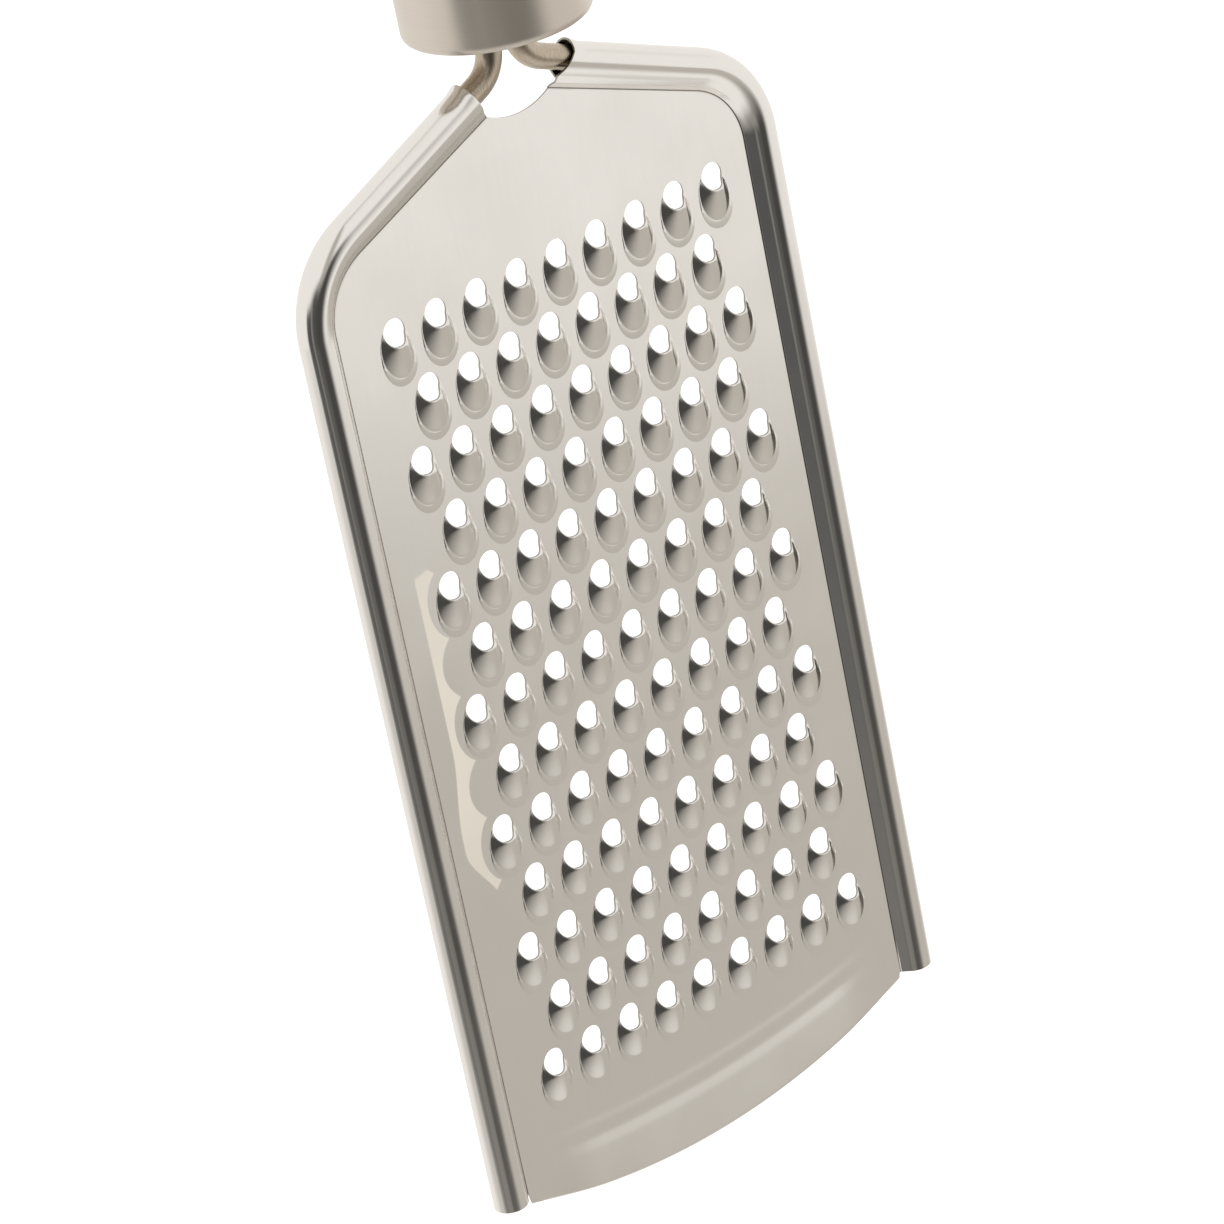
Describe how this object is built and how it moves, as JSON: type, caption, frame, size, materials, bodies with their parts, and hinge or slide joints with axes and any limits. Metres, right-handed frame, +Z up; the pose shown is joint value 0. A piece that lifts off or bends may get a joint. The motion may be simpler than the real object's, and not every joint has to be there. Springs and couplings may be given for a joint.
{
  "type": "hand grater",
  "caption": "Flat steel hand grater: a sheet of raised rasp teeth rolled round a wire rim, whose ends run up into a round tubular handle with a ring to hang it by.",
  "frame": {"origin": "the point inside the hanging ring's top that rests on a hook", "axes": "+Z up along the handle as the grater hangs, +X to the right when the cutting side is looked at, +Y out of the back"},
  "size_m": [0.0881, 0.0272, 0.2961],
  "materials": {
    "blade_steel": "polished cold-rolled stainless sheet",
    "rod_steel": "drawn stainless wire",
    "handle_steel": "satin stainless tube",
    "fitting_steel": "plain turned and bent stainless"
  },
  "bodies": {
    "ring": {"hanging_ring": "fitting_steel"},
    "grater": {"grater_plate": "blade_steel", "left_rim_rod": "rod_steel", "right_rim_rod": "rod_steel", "handle_shell": "handle_steel", "rod_anchor_disc": "fitting_steel", "handle_end_cap": "handle_steel", "hanging_eye": "fitting_steel", "eye_nut": "fitting_steel"}
  },
  "joints": [
    {"name": "ring_swing", "type": "hinge", "parent": "ring", "child": "grater", "pos_m": [0, 0, -0.0188], "axis": [1, 0, 0], "range_deg": [-110, 110]}
  ]
}
